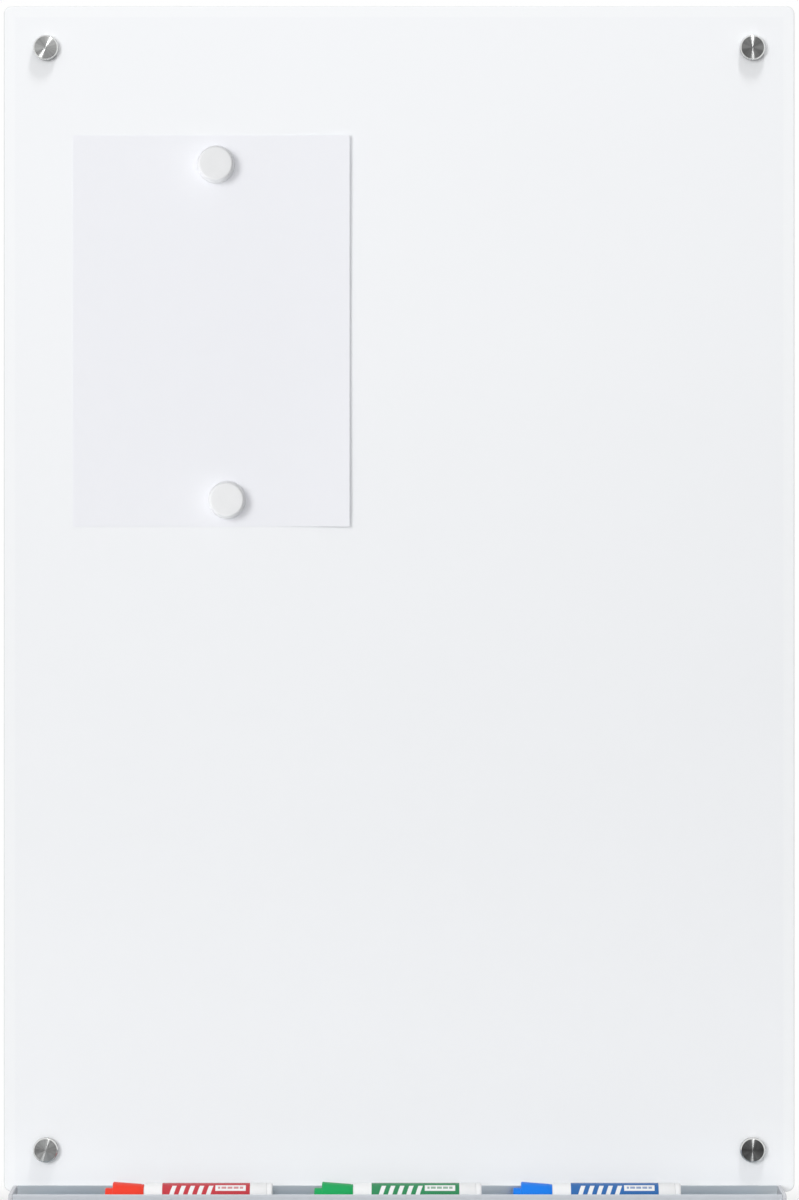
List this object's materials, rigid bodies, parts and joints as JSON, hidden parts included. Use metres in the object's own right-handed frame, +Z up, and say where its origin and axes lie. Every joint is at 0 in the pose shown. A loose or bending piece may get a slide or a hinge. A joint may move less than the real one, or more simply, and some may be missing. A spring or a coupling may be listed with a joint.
{
  "type": "glass whiteboard",
  "caption": "Frameless magnetic glass whiteboard on stand-off wall fixings, with a clip-on pen tray, capped pens and a sheet of paper held by round magnets.",
  "frame": {"origin": "on the wall plane, behind the middle of the glass, at the centre of the rectangle of fixings", "axes": "+Z up, +X to the right seen from the front, +Y into the wall; the writing face looks along -Y"},
  "size_m": [0.6, 0.1043, 0.9102],
  "materials": {
    "white_glass": "polished low-iron glass, painted white on its back",
    "backing_steel": "grey primed steel sheet",
    "turned_steel": "turned stainless steel with a polished chamfer",
    "zinc_steel": "bright zinc plate",
    "clear_nylon": "milky nylon",
    "anchor_nylon": "grey moulded nylon",
    "anodised_aluminium": "fine satin anodised",
    "grey_plastic": "moulded satin plastic",
    "grip_rubber": "soft light grey strip",
    "pen_white": "moulded gloss plastic",
    "pen_red": "moulded gloss plastic",
    "pen_green": "moulded gloss plastic",
    "pen_blue": "moulded gloss plastic",
    "felt_red": "bonded felt soaked with ink",
    "felt_green": "bonded felt soaked with ink",
    "felt_blue": "bonded felt soaked with ink",
    "magnet_white": "moulded satin plastic",
    "ferrite": "sintered ferrite",
    "paper": "uncoated office paper"
  },
  "bodies": {
    "board": {"glass_panel": "white_glass", "steel_backing": "backing_steel", "sleeve_top_left": "clear_nylon", "rear_washer_top_left": "clear_nylon", "barrel_top_left": "turned_steel", "wall_screw_top_left": "zinc_steel", "wall_anchor_top_left": "anchor_nylon", "sleeve_top_right": "clear_nylon", "rear_washer_top_right": "clear_nylon", "barrel_top_right": "turned_steel", "wall_screw_top_right": "zinc_steel", "wall_anchor_top_right": "anchor_nylon", "sleeve_bottom_left": "clear_nylon", "rear_washer_bottom_left": "clear_nylon", "barrel_bottom_left": "turned_steel", "wall_screw_bottom_left": "zinc_steel", "wall_anchor_bottom_left": "anchor_nylon", "sleeve_bottom_right": "clear_nylon", "rear_washer_bottom_right": "clear_nylon", "barrel_bottom_right": "turned_steel", "wall_screw_bottom_right": "zinc_steel", "wall_anchor_bottom_right": "anchor_nylon"},
    "washer_body_top_left": {"front_washer_top_left": "clear_nylon"},
    "cap_body_top_left": {"cap_top_left": "turned_steel"},
    "washer_body_top_right": {"front_washer_top_right": "clear_nylon"},
    "cap_body_top_right": {"cap_top_right": "turned_steel"},
    "washer_body_bottom_left": {"front_washer_bottom_left": "clear_nylon"},
    "cap_body_bottom_left": {"cap_bottom_left": "turned_steel"},
    "washer_body_bottom_right": {"front_washer_bottom_right": "clear_nylon"},
    "cap_body_bottom_right": {"cap_bottom_right": "turned_steel"},
    "tray": {"tray_extrusion": "anodised_aluminium", "tray_end_cap_left": "grey_plastic", "tray_end_cap_right": "grey_plastic", "tray_grip_strip": "grip_rubber"},
    "red_pen": {"pen_red_barrel": "pen_white", "pen_red_nose": "pen_white", "pen_red_nib": "felt_red", "pen_red_reservoir": "felt_red", "pen_red_tail_plug": "pen_white"},
    "red_pen_cap": {"pen_red_cap": "pen_red"},
    "green_pen": {"pen_green_barrel": "pen_white", "pen_green_nose": "pen_white", "pen_green_nib": "felt_green", "pen_green_reservoir": "felt_green", "pen_green_tail_plug": "pen_white"},
    "green_pen_cap": {"pen_green_cap": "pen_green"},
    "blue_pen": {"pen_blue_barrel": "pen_white", "pen_blue_nose": "pen_white", "pen_blue_nib": "felt_blue", "pen_blue_reservoir": "felt_blue", "pen_blue_tail_plug": "pen_white"},
    "blue_pen_cap": {"pen_blue_cap": "pen_blue"},
    "paper_sheet": {"note_sheet": "paper"},
    "upper_magnet": {"magnet_shell_upper": "magnet_white", "magnet_disc_upper": "ferrite"},
    "lower_magnet": {"magnet_shell_lower": "magnet_white", "magnet_disc_lower": "ferrite"}
  },
  "joints": [
    {"name": "cap_travel_top_left", "type": "slide", "parent": "board", "child": "washer_body_top_left", "axis": [0, -1, 0], "range_m": [0, 0.00875]},
    {"name": "cap_turn_top_left", "type": "hinge", "parent": "washer_body_top_left", "child": "cap_body_top_left", "pos_m": [-0.268, 0, 0.418], "axis": [0, -1, 0], "range_deg": [0, 2520]},
    {"name": "cap_travel_top_right", "type": "slide", "parent": "board", "child": "washer_body_top_right", "axis": [0, -1, 0], "range_m": [0, 0.00875]},
    {"name": "cap_turn_top_right", "type": "hinge", "parent": "washer_body_top_right", "child": "cap_body_top_right", "pos_m": [0.268, 0, 0.418], "axis": [0, -1, 0], "range_deg": [0, 2520]},
    {"name": "cap_travel_bottom_left", "type": "slide", "parent": "board", "child": "washer_body_bottom_left", "axis": [0, -1, 0], "range_m": [0, 0.00875]},
    {"name": "cap_turn_bottom_left", "type": "hinge", "parent": "washer_body_bottom_left", "child": "cap_body_bottom_left", "pos_m": [-0.268, 0, -0.418], "axis": [0, -1, 0], "range_deg": [0, 2520]},
    {"name": "cap_travel_bottom_right", "type": "slide", "parent": "board", "child": "washer_body_bottom_right", "axis": [0, -1, 0], "range_m": [0, 0.00875]},
    {"name": "cap_turn_bottom_right", "type": "hinge", "parent": "washer_body_bottom_right", "child": "cap_body_bottom_right", "pos_m": [0.268, 0, -0.418], "axis": [0, -1, 0], "range_deg": [0, 2520]},
    {"name": "tray_pull", "type": "slide", "parent": "board", "child": "tray", "axis": [0, 0, -1], "range_m": [0, 0.016]},
    {"name": "red_pen_lift", "type": "slide", "parent": "tray", "child": "red_pen", "axis": [0, 0, 1], "range_m": [0, 0.045]},
    {"name": "red_cap_pull", "type": "slide", "parent": "red_pen", "child": "red_pen_cap", "axis": [-1, 0, 0], "range_m": [0, 0.022]},
    {"name": "green_pen_lift", "type": "slide", "parent": "tray", "child": "green_pen", "axis": [0, 0, 1], "range_m": [0, 0.045]},
    {"name": "green_cap_pull", "type": "slide", "parent": "green_pen", "child": "green_pen_cap", "axis": [-1, 0, 0], "range_m": [0, 0.022]},
    {"name": "blue_pen_lift", "type": "slide", "parent": "tray", "child": "blue_pen", "axis": [0, 0, 1], "range_m": [0, 0.045]},
    {"name": "blue_cap_pull", "type": "slide", "parent": "blue_pen", "child": "blue_pen_cap", "axis": [-1, 0, 0], "range_m": [0, 0.022]},
    {"name": "sheet_pull", "type": "slide", "parent": "board", "child": "paper_sheet", "axis": [0, 0, -1], "range_m": [0, 0.31]},
    {"name": "upper_magnet_pull", "type": "slide", "parent": "board", "child": "upper_magnet", "axis": [0, -1, 0], "range_m": [0, 0.06]},
    {"name": "lower_magnet_pull", "type": "slide", "parent": "board", "child": "lower_magnet", "axis": [0, -1, 0], "range_m": [0, 0.06]}
  ],
  "couplings": [
    {"joint": "cap_travel_top_left", "follows": "cap_turn_top_left", "m_per_rad": 0.00019894},
    {"joint": "cap_travel_top_right", "follows": "cap_turn_top_right", "m_per_rad": 0.00019894},
    {"joint": "cap_travel_bottom_left", "follows": "cap_turn_bottom_left", "m_per_rad": 0.00019894},
    {"joint": "cap_travel_bottom_right", "follows": "cap_turn_bottom_right", "m_per_rad": 0.00019894}
  ]
}
